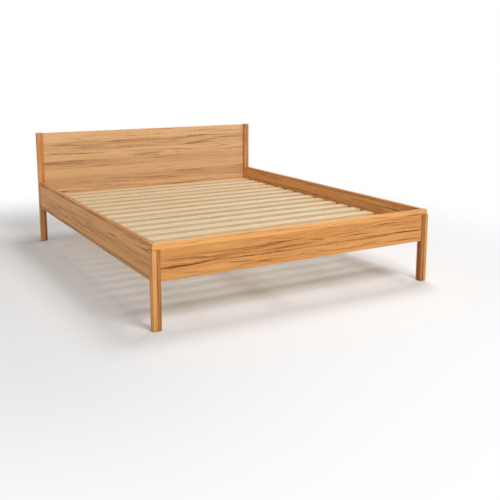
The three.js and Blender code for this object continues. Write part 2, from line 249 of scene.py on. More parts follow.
def edge_nearness(recipe, box, reach):
    """1 on the long edges of a board and 0 further than reach from them: on a face of a box the
    nearest pair of faces is 0 away, so the second nearest says how near the edge is."""
    a, b, c = (recipe.math("MINIMUM", recipe.math("SUBTRACT", value, float(low)),
                           recipe.math("SUBTRACT", float(high), value))
               for value, low, high in zip(recipe.place(), *box))
    second = recipe.math("MAXIMUM", recipe.math("MINIMUM", a, b),
                         recipe.math("MINIMUM", recipe.math("MAXIMUM", a, b), c))
    return recipe.fade(second, reach, 0.0)


def streak(recipe, length, height, centre, level, half_length, half_height, slope):
    """1 along a straight streak in a board and 0 off it. It thins out to both ends."""
    along = recipe.math("SUBTRACT", length, centre)
    off = recipe.math("SUBTRACT", recipe.math("SUBTRACT", height, level), recipe.scaled(along, slope))
    ends = recipe.fade(recipe.math("ABSOLUTE", along), half_length, 0.25 * half_length)
    width = recipe.scaled(ends, 0.75 * half_height, 0.25 * half_height)
    return recipe.math("MULTIPLY", ends, recipe.fade(recipe.math("ABSOLUTE", off), width, 0.0))


# The colours of oiled heart beech, from the pale sapwood to the darkest veins of the heart
beech_pale = (0.84, 0.425, 0.148, 1.0)
beech_mid = (0.655, 0.262, 0.066, 1.0)
beech_heart = (0.37, 0.132, 0.036, 1.0)
beech_vein = (0.15, 0.046, 0.014, 1.0)
# A paler, less browned beech that the colours are moved towards; on the headboard this is painted light
beech_paler = (0.78, 0.50, 0.27, 1.0)


def heart_beech(name, along, stack, staves, streaks, seed, paling):
    """Oiled heart beech glued up from full-length staves. The distance from a pith behind the
    face, r = sqrt((wavy height - pith)^2 + (depth + sink)^2), carries the growth rings and the
    brown heart, so that the figure runs on from the faces of a board to its ends. staves holds
    (lower edge, lightness, share of heart, place of the pith), each from 0 to 1, and streaks
    (centre, level, half length, half height, slope, strength), dark above 0 and pale below.
    The last argument, from 0 to 1, moves the pale and mid colours towards a paler, less browned beech;
    on the headboard this is painted light."""
    recipe = Recipe(bpy.data.materials.new(name))
    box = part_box(name)
    places = dict(zip("xyz", recipe.place()))
    across = next(a for a in "xyz" if a not in along + stack)
    length, height, depth = places[along], places[stack], places[across]
    low, high = (float(corner["xyz".index(stack)]) for corner in box)
    middle = float(sum(corner["xyz".index(across)] for corner in box) / 2)
    ramp = recipe.tree.nodes.new("ShaderNodeValToRGB")
    ramp.color_ramp.interpolation = "CONSTANT"
    recipe.tree.links.new(recipe.node("MapRange", {0: height, 1: low, 2: high}), ramp.inputs[0])
    stops = ramp.color_ramp.elements
    while len(stops) < len(staves):
        stops.new(1.0)
    for stop, (edge, *values) in zip(stops, staves):
        stop.position = edge
        stop.color = (*values, 1.0)
    split = recipe.tree.nodes.new("ShaderNodeSeparateColor")
    recipe.tree.links.new(ramp.outputs[0], split.inputs[0])
    lightness, heart, pith = split.outputs

    # Long waves and small ripples bend the figure, and each stave comes from another part of the tree
    shift = recipe.scaled(pith, 41.0, seed)
    wave = recipe.noise((recipe.scaled(length, 1.5), recipe.scaled(height, 8.0), shift))
    ripple = recipe.noise((recipe.scaled(length, 12.0), recipe.scaled(height, 55.0), shift), 3.0)
    rippled = recipe.total(height, recipe.scaled(ripple, 0.010, -0.005))
    wavy = recipe.total(rippled, recipe.scaled(wave, 0.06, -0.03))
    rise = recipe.math("SUBTRACT", wavy, recipe.scaled(pith, high - low, low))
    sink = recipe.scaled(recipe.math("FRACT", recipe.scaled(pith, 7.3)), 0.03, 0.02)
    back = recipe.total(depth, sink, -middle)
    radius = recipe.root_of_squares(rise, back)

    # Broad zones of heart, sharper lines in them, and the finest threads
    zones = recipe.noise((recipe.scaled(length, 0.8), recipe.scaled(radius, 42.0), shift), 3.0, 0.55)
    lines = recipe.noise((recipe.scaled(length, 2.6), recipe.scaled(radius, 210.0), shift), 4.0, 0.62)
    threads = recipe.noise((recipe.scaled(length, 18.0), recipe.scaled(radius, 800.0), shift), 3.0, 0.6)
    amount = recipe.total(recipe.scaled(zones, 0.5), recipe.scaled(lines, 0.5),
                          recipe.scaled(heart, 0.18, -0.09))
    in_heart = recipe.fade(amount, 0.49, 0.64)
    vein = recipe.math("MULTIPLY", recipe.fade(recipe.total(lines, recipe.scaled(threads, 0.3, -0.15)),
                                               0.55, 0.64), recipe.fade(zones, 0.40, 0.54))
    patches = recipe.noise((recipe.scaled(length, 3.0), recipe.scaled(height, 22.0), shift))
    paleness = recipe.total(recipe.scaled(lightness, 0.75), recipe.scaled(patches, 0.9, -0.45),
                            recipe.scaled(lines, -2.6, 1.3), recipe.scaled(threads, -1.6, 0.8),
                            recipe.scaled(zones, -0.8, 0.4))

    # Streaks at given places
    steady = recipe.total(rippled, recipe.scaled(wave, 0.016, -0.008))
    broken = recipe.scaled(threads, 1.6, 0.2)
    dark, pale = 0.0, 0.0
    for *line, strength in streaks:
        mask = recipe.scaled(streak(recipe, length, steady, *line), abs(strength))
        if strength > 0:
            dark = recipe.math("MAXIMUM", dark, mask)
        else:
            pale = recipe.math("MAXIMUM", pale, mask)
    dark = recipe.math("MULTIPLY", dark, broken)

    # Fibres, and the short dark flecks of the rays
    section = [recipe.scaled(c, 1500.0) for c in (height, depth)]
    fibre = recipe.noise((recipe.scaled(length, 22.0), *section))
    dash = recipe.fade(recipe.noise((recipe.scaled(length, 400.0), *section), 0.0), 0.64, 0.74)

    # The pale and mid colours are moved towards the paler beech; on the headboard this is painted light
    sapwood, warm = [tuple((1 - paling) * a + paling * b for a, b in zip(aged, beech_paler))
                     for aged in (beech_pale, beech_mid)]
    base = recipe.blend(recipe.math("MAXIMUM", paleness, pale), warm, sapwood)
    tinted = recipe.blend(recipe.scaled(in_heart, 0.72), base, beech_heart)
    veined = recipe.blend(recipe.math("MAXIMUM", recipe.scaled(vein, 0.66), dark), tinted, beech_vein)
    grain = recipe.math("MULTIPLY", recipe.scaled(lightness, 0.32, 0.80),
                        recipe.total(recipe.scaled(fibre, 0.22, 0.67), recipe.scaled(threads, 0.46)))
    grained = recipe.blend(1.0, veined, recipe.vector(grain, grain, grain), "MULTIPLY")
    flecked = recipe.blend(recipe.scaled(dash, 0.3), grained, beech_heart)

    # End grain drinks more oil, and handled edges are rubbed paler and smoother
    normal = recipe.place(1)["xyz".index(along)]
    on_end = recipe.fade(recipe.math("ABSOLUTE", normal), 0.8, 1.0)
    ended = recipe.blend(recipe.scaled(on_end, 0.42), flecked, beech_heart)
    worn = recipe.math("MULTIPLY", edge_nearness(recipe, box, 0.004), recipe.fade(patches, 0.35, 0.7))
    colour = recipe.blend(recipe.scaled(worn, 0.3), ended, beech_pale)
    gloss = recipe.total(recipe.scaled(fibre, 0.16, 0.44), recipe.scaled(worn, -0.08))
    relief = recipe.total(fibre, recipe.scaled(dash, -0.5))
    bump = recipe.node("Bump", {"Strength": 0.35, "Distance": 0.0002, "Height": relief})
    shader = recipe.node("BsdfPrincipled", {"Base Color": colour, "Roughness": gloss, "Normal": bump,
                                            "Specular IOR Level": 0.12})
    return recipe.surface(shader)


def make_board(node, radius, along, stack, staves, streaks, seed, paling=0.0):
    """A board or leg of heart beech with edges eased to that radius."""
    material = heart_beech(node, along, stack, staves, streaks, seed, paling)
    dress(eased(node, radius), material)


leg_edge = 0.0016
make_board("foot_leg_left", leg_edge, "z", "x", ((0.0, 0.95, 0.1, 0.3), (0.5, 0.0, 0.9, 0.8)),
           ((0.2, -0.82, 0.6, 0.0024, 0.0, 1.0),), seed=3.1)
# The right leg's inner stave is darkened to lightness 0 with full heart. This is partly a darker stave
# and partly painted shade for its inner face, which lies in shadow under the bed.
make_board("foot_leg_right", leg_edge, "z", "x", ((0.0, 0.0, 1.0, 0.6), (0.5, 0.6, 0.2, 0.2)),
           ((0.2, 0.82, 0.6, 0.0024, 0.0, 1.0),), seed=4.1)


# ---- Footboard ----
# One board of glued staves, 180 mm high. Its top band runs on over the legs to a mitre at each
# corner, and a dark vein follows the joint above the lowest stave.
board_edge = 0.0014
footboard_staves = ((0.0, 0.65, 0.25, 0.42), (0.335, 0.55, 0.4, 0.93), (0.62, 0.55, 0.35, 0.3),
                    (0.84, 1.0, 0.0, 0.75))
footboard_streaks = (
    (-0.68, 0.2975, 0.19, 0.0055, 0.01, 1.1),
    (-0.54, 0.304, 0.12, 0.005, 0.06, 0.8),
    (-0.25, 0.2985, 0.50, 0.0036, 0.0, 0.95),
    (0.30, 0.300, 0.50, 0.0034, 0.0, 0.85),
    (0.10, 0.3065, 0.50, 0.0025, 0.0, -0.7),
    (0.70, 0.3035, 0.18, 0.005, -0.01, 1.1),
    (0.50, 0.306, 0.20, 0.0035, -0.02, 0.7),
    (-0.66, 0.312, 0.20, 0.008, 0.01, -1.0),
    (0.72, 0.3115, 0.14, 0.006, 0.0, -1.0),
    (-0.68, 0.331, 0.14, 0.010, 0.03, 0.45),
    (-0.40, 0.322, 0.16, 0.007, -0.04, 0.4),
    (-0.06, 0.318, 0.24, 0.010, 0.02, 0.5),
    (0.08, 0.331, 0.07, 0.006, -0.10, 0.6),
    (0.34, 0.325, 0.18, 0.006, 0.02, 0.45),
    (0.66, 0.345, 0.16, 0.005, -0.02, 0.35),
    (-0.38, 0.2745, 0.12, 0.005, -0.05, 0.75),
    (-0.24, 0.262, 0.06, 0.006, -0.10, 0.6),
    (0.42, 0.2705, 0.11, 0.005, 0.05, 0.7),
    (0.31, 0.264, 0.05, 0.006, 0.25, 0.5),
    (0.00, 0.272, 0.07, 0.004, 0.13, 0.55),
    (0.10, 0.272, 0.07, 0.004, -0.13, 0.55),
    (0.05, 0.266, 0.10, 0.010, 0.0, -0.7),
    (-0.62, 0.258, 0.14, 0.007, -0.06, 0.35),
    (0.68, 0.262, 0.12, 0.006, 0.03, 0.35),
)
make_board("footboard", board_edge, "x", "z", footboard_staves, footboard_streaks, seed=7.7)


# ---- Head posts and headboard ----
# The posts are glued up like the legs. The headboard is a panel of staves as long as it is wide,
# and its tongues are glued into grooves in the posts.
make_board("head_post_left", leg_edge, "z", "x", ((0.0, 0.65, 0.3, 0.4), (0.5, 0.35, 0.4, 0.9)),
           ((0.4, -0.82, 0.5, 0.001, 0.0, 0.5),), seed=11.3)
make_board("head_post_right", leg_edge, "z", "x", ((0.0, 0.55, 0.3, 0.2), (0.5, 0.2, 0.5, 0.7)),
           ((0.4, 0.82, 0.5, 0.001, 0.0, 0.6),), seed=12.3)

headboard_staves = ((0.0, 0.6, 0.3, 0.31), (0.12, 0.95, 0.2, 0.83), (0.25, 0.55, 0.4, 0.12),
                    (0.38, 0.95, 0.1, 0.55), (0.5, 0.6, 0.25, 0.96), (0.615, 1.0, 0.0, 0.44),
                    (0.74, 0.6, 0.45, 0.7), (0.862, 1.0, 0.0, 0.2))
headboard_streaks = (
    (-0.52, 0.688, 0.24, 0.004, 0.03, 0.55),
    (-0.50, 0.660, 0.26, 0.005, -0.02, 0.6),
    (-0.66, 0.672, 0.12, 0.006, 0.05, 0.55),
    (-0.24, 0.668, 0.26, 0.006, 0.02, 0.45),
    (0.14, 0.655, 0.20, 0.005, 0.01, 0.45),
    (0.42, 0.646, 0.26, 0.006, 0.11, 0.75),
    (0.38, 0.633, 0.26, 0.004, 0.02, 0.7),
    (0.68, 0.668, 0.18, 0.008, -0.02, 0.6),
    (0.55, 0.692, 0.24, 0.004, 0.0, 0.55),
    (0.60, 0.715, 0.20, 0.006, 0.02, 0.4),
    (0.50, 0.620, 0.28, 0.003, 0.0, 0.5),
    (-0.40, 0.621, 0.40, 0.003, 0.0, 0.45),
    (-0.02, 0.574, 0.20, 0.012, 0.04, 0.5),
    (-0.70, 0.610, 0.12, 0.008, 0.02, 0.4),
    (-0.74, 0.545, 0.10, 0.010, 0.03, 0.5),
    (0.30, 0.735, 0.50, 0.010, 0.0, -0.5),
    (-0.50, 0.735, 0.30, 0.010, 0.0, -0.6),
)
# The headboard is moved far towards the paler beech, as painted light for the brighter light that falls
# on it.
make_board("headboard", board_edge, "x", "z", headboard_staves, headboard_streaks, seed=19.4,
           paling=0.8)


# ---- Side rails ----
# Boards of the same staves as the footboard. They hook into the legs and the posts, and their top
# band meets the footboard's in a mitre over each foot leg.
rail_staves = ((0.0, 0.25, 0.5, 0.35), (0.12, 0.75, 0.3, 0.8), (0.42, 0.65, 0.3, 0.15),
               (0.62, 0.85, 0.2, 0.6), (0.90, 0.35, 0.4, 0.95))
rail_streaks = (
    (-0.50, 0.332, 0.60, 0.003, 0.0, 0.5),
    (-0.30, 0.318, 0.40, 0.004, 0.005, 0.45),
    (0.45, 0.328, 0.40, 0.004, -0.004, 0.5),
    (-0.10, 0.300, 0.50, 0.003, 0.0, 0.35),
    (-0.70, 0.255, 0.28, 0.005, 0.01, 0.5),
    (0.30, 0.252, 0.45, 0.006, -0.01, 0.5),
    (0.70, 0.270, 0.25, 0.005, 0.02, 0.4),
    (0.60, 0.382, 0.30, 0.003, 0.0, 0.4),
    (-0.60, 0.372, 0.30, 0.010, 0.01, -0.5),
)
rail_paling = 0.15
make_board("side_rail_left", board_edge, "y", "z", rail_staves, rail_streaks, seed=23.9,
           paling=rail_paling)
make_board("side_rail_right", board_edge, "y", "z", rail_staves, rail_streaks, seed=31.2,
           paling=rail_paling)


# ---- Dowels ----
# Plain round beech dowels, two in each end of the footboard. They are glued in.
def planed_wood(name, along, early, late, seed, ring=0.0042, repeat=None):
    """Planed, untreated wood. The rings lie at r = sqrt((a - pith)^2 + (b - pith)^2) across the
    length, one every ring metres, each with a thin dark late-wood line, and they bend round small
    knots. With repeat, (axis, start, pitch), each of a row of boards gets its own figure."""
    recipe = Recipe(bpy.data.materials.new(name))
    places = dict(zip("xyz", recipe.place()))
    length = places[along]
    side, up = (places[a] for a in "xyz" if a != along)
    tone, shift = 0.5, seed
    if repeat:
        axis, start, pitch = repeat
        share = recipe.scaled(places[axis], 1.0 / pitch, -start / pitch)
        number = recipe.math("FLOOR", share)
        tone = recipe.node("TexWhiteNoise", {"W": recipe.scaled(number, 1.7, seed)},
                           noise_dimensions="1D")
        shift = recipe.scaled(tone, 37.0, seed)
        side = recipe.scaled(recipe.math("FRACT", share), pitch)

    # Knots stand in a few of the cells of a net that is stretched along the board
    wander = recipe.noise((recipe.scaled(length, 1.8), shift, 0.0))
    knots = recipe.tree.nodes.new("ShaderNodeTexVoronoi")
    knots.inputs["Scale"].default_value = 1.0
    knot_place = recipe.vector(recipe.scaled(length, 2.4), recipe.scaled(side, 14.0), shift)
    recipe.tree.links.new(knot_place, knots.inputs["Vector"])
    chance = recipe.tree.nodes.new("ShaderNodeSeparateColor")
    recipe.tree.links.new(knots.outputs["Color"], chance.inputs[0])
    here = recipe.fade(chance.outputs[0], 0.62, 0.66)
    near = recipe.math("MULTIPLY", here, recipe.fade(knots.outputs["Distance"], 0.30, 0.04))
    knot = recipe.math("MULTIPLY", here, recipe.fade(knots.outputs["Distance"], 0.085, 0.06))

    # The rings, measured from a pith below the board and pushed aside near a knot
    off_side = recipe.total(side, recipe.scaled(wander, 0.03, -0.035))
    off_up = recipe.total(up, recipe.scaled(tone, 0.05, 0.02))
    radius = recipe.root_of_squares(off_side, off_up)
    bent = recipe.total(recipe.scaled(radius, 1.0 / ring), recipe.scaled(length, 0.7),
                        recipe.scaled(near, 1.6), recipe.scaled(wander, 1.5))
    late_wood = recipe.fade(recipe.math("FRACT", bent), 0.35, 0.95)

    # Fibres, blotches and the colour
    fibre = recipe.noise((recipe.scaled(length, 16.0), recipe.scaled(side, 1300.0),
                          recipe.scaled(up, 1300.0)))
    mottle = recipe.noise((recipe.scaled(length, 5.0), recipe.scaled(side, 40.0), shift))
    share = recipe.total(recipe.scaled(late_wood, 0.55), recipe.scaled(mottle, 0.5, -0.25),
                         recipe.scaled(tone, 0.3) if repeat else 0.15)
    base = recipe.blend(share, early, late)
    knotted = recipe.blend(recipe.scaled(knot, 0.8), base, (0.24, 0.10, 0.035, 1.0))
    grain = recipe.scaled(fibre, 0.3, 0.85)
    colour = recipe.blend(1.0, knotted, recipe.vector(grain, grain, grain), "MULTIPLY")
    gloss = recipe.total(recipe.scaled(fibre, 0.2, 0.5), recipe.scaled(late_wood, -0.1))
    relief = recipe.total(recipe.scaled(fibre, 0.6), recipe.scaled(late_wood, 0.4))
    bump = recipe.node("Bump", {"Strength": 0.4, "Distance": 0.0003, "Height": relief})
    shader = recipe.node("BsdfPrincipled", {"Base Color": colour, "Roughness": gloss, "Normal": bump,
                                            "Specular IOR Level": 0.3})
    return recipe.surface(shader)


dowel_beech = planed_wood("dowel_beech", "x", (0.80, 0.56, 0.34, 1.0), (0.66, 0.42, 0.24, 1.0),
                          seed=2.0, ring=0.0018)
for side in ("left", "right"):
    for number in (1, 2):
        dress(frame["nodes"][f"dowel_{number}_{side}"], dowel_beech)


# ---- Hook-in fittings ----
# Zinc-plated steel plates let into the ends of the side rails and into the legs and posts. The
# hooks of the one drop into the slots of the other. Their screws, hidden in the joints, are left out.
def zinc_plated(name, seed):
    """Bright zinc plating: cloudy blue and yellow tints, fine scratches and dull spots."""
    recipe = Recipe(bpy.data.materials.new(name))
    x, y, z = recipe.place()
    clouds = recipe.noise([recipe.scaled(c, 28.0, seed) for c in (x, y, z)], 3.0)
    spots = recipe.noise([recipe.scaled(c, 260.0, seed) for c in (x, y, z)], 3.0, 0.7)
    scratches = recipe.noise((recipe.scaled(x, 900.0), recipe.scaled(y, 60.0),
                              recipe.scaled(z, 900.0)), 2.0)
    tint = recipe.blend(recipe.fade(clouds, 0.38, 0.62), (0.56, 0.60, 0.66, 1), (0.68, 0.65, 0.57, 1))
    dull = recipe.fade(spots, 0.55, 0.72)
    colour = recipe.blend(recipe.scaled(dull, 0.5), tint, (0.40, 0.41, 0.42, 1))
    gloss = recipe.total(recipe.scaled(clouds, 0.16, 0.20), recipe.scaled(dull, 0.22),
                         recipe.scaled(scratches, 0.08))
    relief = recipe.total(recipe.scaled(spots, 0.6), recipe.scaled(scratches, 0.4))
    bump = recipe.node("Bump", {"Strength": 0.25, "Distance": 0.0001, "Height": relief})
    shader = recipe.node("BsdfPrincipled", {"Base Color": colour, "Roughness": gloss, "Normal": bump,
                                            "Metallic": 1.0})
    return recipe.surface(shader)


zinc = zinc_plated("zinc_steel", 1.0)
for side in ("left", "right"):
    for end in ("foot", "head"):
        dress(frame["nodes"][f"hook_plate_{end}_{side}"], zinc)
        dress(frame["nodes"][f"slotted_plate_{end}_{side}"], zinc)


# ---- Cleats ----
# Strips of planed spruce inside the side rails, which carry the slat ends. Each is glued and held
# by nine screws with low round heads.
spruce_early = (0.86, 0.70, 0.45, 1.0)
spruce_late = (0.66, 0.43, 0.21, 1.0)
spruce_long = planed_wood("spruce_long", "y", spruce_early, spruce_late, seed=5.0)
for side in ("left", "right"):
    dress(eased(f"slat_cleat_{side}", 0.001), spruce_long)


def ring_quads(rows, steps):
    """Quads between the rings of a form whose points run ring by ring, steps points to a ring."""
    row, step = np.meshgrid(np.arange(rows - 1), np.arange(steps), indexing="ij")
    after = (step + 1) % steps
    corners = [row * steps + step, row * steps + after, (row + 1) * steps + after,
               (row + 1) * steps + step]
    return np.stack(corners, -1).reshape(-1, 4)


def shade_round(mesh, crease=35):
    """Smooth shading that keeps edges sharper than crease degrees crisp."""
    mesh.shade_smooth()
    mesh.set_sharp_from_angle(angle=math.radians(crease))


def screw_heads(name, points, normal, radius, height):
    """Low round screw heads at points, facing along normal. The dome is a quarter ellipse turned
    round the normal, and a six-lobed socket of radius s(a) = s0 (1 + 0.16 cos 6a) is sunk in it."""
    steps = 24
    step = np.arange(steps)
    angle = step * (2 * np.pi / steps)
    whole = np.ones(steps)
    lobes = 0.42 * (1 + 0.16 * np.cos(6 * angle))
    rings = [(whole, 0.0), (whole, 0.3), (0.93 * whole, 0.62), (0.75 * whole, 0.9),
             (lobes + 0.03, 1.0), (lobes, 0.95), (lobes * 0.92, 0.2)]
    flat = np.array([(r * np.cos(angle), r * np.sin(angle), h * whole) for r, h in rings])
    head = flat.transpose(0, 2, 1).reshape(-1, 3) * (radius, radius, height)
    socket_floor = (0, 0, rings[-1][1] * height)
    head = np.vstack([head, [socket_floor]])
    up = np.array(normal, dtype=float)
    first = np.cross(up, (0.3, 0.5, 0.8))
    first /= np.linalg.norm(first)
    turned = head @ np.array([first, np.cross(up, first), up])
    points = np.array(points, dtype=float)
    vertices = (points[:, None, :] + turned[None]).reshape(-1, 3)

    last = (len(rings) - 1) * steps
    walls = ring_quads(len(rings), steps)
    floor_fan = np.stack([last + step, last + (step + 1) % steps, np.full(steps, len(head) - 1)], -1)
    base_cap = step[::-1]
    faces = []
    for start in np.arange(len(points)) * len(head):
        faces += (walls + start).tolist() + (floor_fan + start).tolist() + [(base_cap + start).tolist()]
    mesh = bpy.data.meshes.new(name)
    mesh.from_pydata(vertices.tolist(), [], faces)
    shade_round(mesh)
    dress(add_piece(name, mesh, "frame"), zinc)


cleat_low, cleat_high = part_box("slat_cleat_right")
cleat_screw_count = 9
cleat_screw_inset = 0.06
cleat_screw_y = np.linspace(cleat_low[1] + cleat_screw_inset, cleat_high[1] - cleat_screw_inset,
                            cleat_screw_count)
cleat_screw_z = (cleat_low[2] + cleat_high[2]) / 2
for side, sign in (("left", 1), ("right", -1)):
    spots = [(-sign * cleat_low[0], y, cleat_screw_z) for y in cleat_screw_y]
    screw_heads(f"cleat_screws_{side}", spots, (sign, 0, 0), radius=0.0042, height=0.0016)


# ---- Centre beam ----
# A planed spruce beam that halves the span of the slats. Its ends lie in shoes folded from zinc-
# plated sheet, each screwed to its board and closed by a bolt and a nut through the beam.
dress(eased("centre_beam", 0.0015), spruce_long)
shoe_thickness = 0.003
shoe_screw_side, shoe_screw_step = 0.0343, 0.014
for end, facing in (("foot", 1), ("head", -1)):
    dress(eased(f"beam_shoe_{end}", 0.0005), zinc)
    dress(eased(f"beam_bolt_{end}", 0.0006), zinc)
    dress(eased(f"beam_nut_{end}", 0.0005), zinc)
    low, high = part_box(f"beam_shoe_{end}")
    flange_face = (low[1] if facing > 0 else high[1]) + facing * shoe_thickness
    flange_middle = (low[2] + high[2]) / 2
    shoe_spots = [(x * shoe_screw_side, flange_face, flange_middle + z * shoe_screw_step)
                  for x in (-1, 1) for z in (-1, 1)]
    screw_heads(f"shoe_screws_{end}", shoe_spots, (0, facing, 0), radius=0.0046, height=0.0022)


# ---- Centre leg ----
# A square spruce leg under the middle of the beam. A steel plate on its top is screwed up into the
# beam, and a threaded sleeve with a flange is pressed into its foot.
spruce_upright = planed_wood("spruce_upright", "z", spruce_early, spruce_late, seed=8.0)
dress(eased("centre_leg", 0.0015), spruce_upright)
dress(eased("centre_leg_plate", 0.0006), zinc)
dress(eased("threaded_sleeve", 0.0003), zinc)
plate_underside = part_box("centre_leg_plate")[0][2]
plate_screw_x, plate_screw_y = 0.0095, 0.044
plate_spots = [(x * plate_screw_x, y * plate_screw_y, plate_underside)
               for x in (-1, 1) for y in (-1, 1)]
screw_heads("plate_screws", plate_spots, (0, 0, -1), radius=0.0046, height=0.0022)


# ---- Levelling foot ----
# A steel spindle with a metric thread and a spanner collar screws up into the sleeve. Its pin
# turns in a moulded plastic pad, which stays still on the floor.
def turned_form(name, radii, levels, body, nodes, centre=(0.0, 0.0)):
    """A closed form turned round an upright line: the point of row i and step j lies at angle
    2 pi j / m, at radius radii[i, j] and height levels[i]. Flat fans close both ends."""
    radii = np.asarray(radii, dtype=float)
    rows, steps = radii.shape
    angle = np.arange(steps) * (2 * np.pi / steps)
    level = np.repeat(np.asarray(levels, dtype=float)[:, None], steps, 1)
    points = np.stack([centre[0] + radii * np.cos(angle), centre[1] + radii * np.sin(angle), level], -1)
    ends = [(*centre, levels[0]), (*centre, levels[-1])]
    walls = ring_quads(rows, steps)
    first = np.arange(steps)
    second = (first + 1) % steps
    top = (rows - 1) * steps
    low_fan = np.stack([second, first, np.full(steps, rows * steps)], -1)
    high_fan = np.stack([top + first, top + second, np.full(steps, rows * steps + 1)], -1)
    mesh = bpy.data.meshes.new(name)
    vertices = np.vstack([points.reshape(-1, 3), ends])
    mesh.from_pydata(vertices.tolist(), [], walls.tolist() + low_fan.tolist() + high_fan.tolist())
    shade_round(mesh)
    return add_piece(name, mesh, body, nodes)


def spindle_form():
    """Radius and height of the spindle, row by row: a pin, a plain neck, a six-sided collar of
    radius 8.5 / cos((a mod 60) - 30) with chamfered corners, and a rounded thread of radius
    5 - 0.45 (1 - cos(2 pi (z / pitch - a / 2 pi))) millimetres."""
    steps = 48
    angle = np.arange(steps) * (2 * np.pi / steps)
    six_sided = 0.0085 / np.cos(angle % (np.pi / 3) - np.pi / 6)
    pitch = 0.0015
    plain = [(0.0034, 0.0033), (0.004, 0.0039), (0.004, 0.0083), (0.005, 0.0083), (0.005, 0.010)]
    rows = [(np.full(steps, radius), z) for radius, z in plain]
    rows += [(np.minimum(six_sided, limit), z) for limit, z in
             ((0.0083, 0.010), (0.0098, 0.0109), (0.0098, 0.0151), (0.0083, 0.016))]
    rows += [(np.full(steps, radius), z) for radius, z in ((0.005, 0.016), (0.0042, 0.0166))]
    for z in np.arange(0.0171, 0.0717, pitch / 6):
        turn = 2 * np.pi * z / pitch - angle
        rows.append((0.005 - 0.00045 * (1 - np.cos(turn)), z))
    rows += [(np.full(steps, 0.0042), 0.0720), (np.full(steps, 0.0036), 0.0728)]
    return [radius for radius, z in rows], [z for radius, z in rows]


spindle = turned_form("spindle_threaded", *spindle_form(), "levelling_screw", ["levelling_spindle"])
dress(spindle, zinc)

pad_profile = ((0.0172, 0.0), (0.0184, 0.0003), (0.019, 0.0011), (0.019, 0.0026), (0.0185, 0.0032),
               (0.0178, 0.0034), (0.0172, 0.0034), (0.0168, 0.0041), (0.0115, 0.0076), (0.0107, 0.008),
               (0.0048, 0.008), (0.0043, 0.0075), (0.0043, 0.003))
pad_steps = 72
pad = turned_form("pad_moulded", [[radius] * pad_steps for radius, z in pad_profile],
                  [z for radius, z in pad_profile], "levelling_foot", ["levelling_pad"])
pad_recipe = Recipe(bpy.data.materials.new("moulded_plastic"))
pad_place = [pad_recipe.scaled(c, 1600.0) for c in pad_recipe.place()]
pad_grain = pad_recipe.noise(pad_place, 3.0, 0.6)
pad_wear = pad_recipe.noise([pad_recipe.scaled(c, 90.0) for c in pad_recipe.place()], 3.0)
pad_colour = pad_recipe.blend(pad_recipe.fade(pad_wear, 0.45, 0.75), (0.030, 0.031, 0.033, 1.0),
                              (0.075, 0.073, 0.070, 1.0))
pad_gloss = pad_recipe.total(pad_recipe.scaled(pad_grain, 0.25, 0.35), pad_recipe.scaled(pad_wear, 0.1))
pad_bump = pad_recipe.node("Bump", {"Strength": 0.5, "Distance": 0.0001, "Height": pad_grain})
dress(pad, pad_recipe.surface(pad_recipe.node("BsdfPrincipled", {
    "Base Color": pad_colour, "Roughness": pad_gloss, "Normal": pad_bump})))


# ---- Slats ----
# Sixteen planed spruce slats with rounded edges, which lie on the cleats and the beam. The first
# and the last are screwed down at both ends and keep the others in their places.
slat_count = 16
slat_low, slat_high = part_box("slat_01")
slat_pitch = float(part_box("slat_02")[0][1] - slat_low[1])
slat_start = float((slat_low[1] + slat_high[1] - slat_pitch) / 2)
slat_spruce = planed_wood("slat_spruce", "x", (0.80, 0.645, 0.42, 1.0), (0.62, 0.41, 0.21, 1.0),
                          seed=13.0, ring=0.0050, repeat=("y", slat_start, slat_pitch))
for number in range(1, slat_count + 1):
    dress(eased(f"slat_{number:02d}", 0.003, 3), slat_spruce)
slat_screw_x, slat_screw_step = 0.796, 0.016
slat_spots = [(x * slat_screw_x, (low[1] + high[1]) / 2 + y * slat_screw_step, high[2])
              for low, high in (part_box("slat_01"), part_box(f"slat_{slat_count:02d}"))
              for x in (-1, 1) for y in (-1, 1)]
screw_heads("slat_screws", slat_spots, (0, 0, 1), radius=0.004, height=0.0009)


# ---- Webbing straps ----
# Two woven cotton straps, 25 mm wide, run under all the slats and space them. Each is held to
# every slat by two wire staples and hangs a little between the slats.
def carried_profile(path, side, up, profile):
    """Points of a profile carried along a path: path + u * side + v * up for each (u, v)."""
    path, profile = np.asarray(path, dtype=float), np.asarray(profile, dtype=float)
    return (path[:, None, :] + profile[None, :, :1] * np.asarray(side)[:, None, :]
            + profile[None, :, 1:] * np.asarray(up)[:, None, :])


def tube_faces(rows, steps, start=0):
    """Quads along a carried profile and a cap on each end, for points numbered from start."""
    last = (rows - 1) * steps
    caps = [(np.arange(steps)[::-1] + start).tolist(), (np.arange(steps) + last + start).tolist()]
    return (ring_quads(rows, steps) + start).tolist() + caps


def closed_mesh(name, vertices, faces):
    """A mesh with its faces turned outwards."""
    shape = bmesh.new()
    mesh = bpy.data.meshes.new(name)
    mesh.from_pydata(np.asarray(vertices).reshape(-1, 3).tolist(), [], faces)
    shape.from_mesh(mesh)
    bmesh.ops.recalc_face_normals(shape, faces=shape.faces)
    shape.to_mesh(mesh)
    shape.free()
    shade_round(mesh, 40)
    return mesh


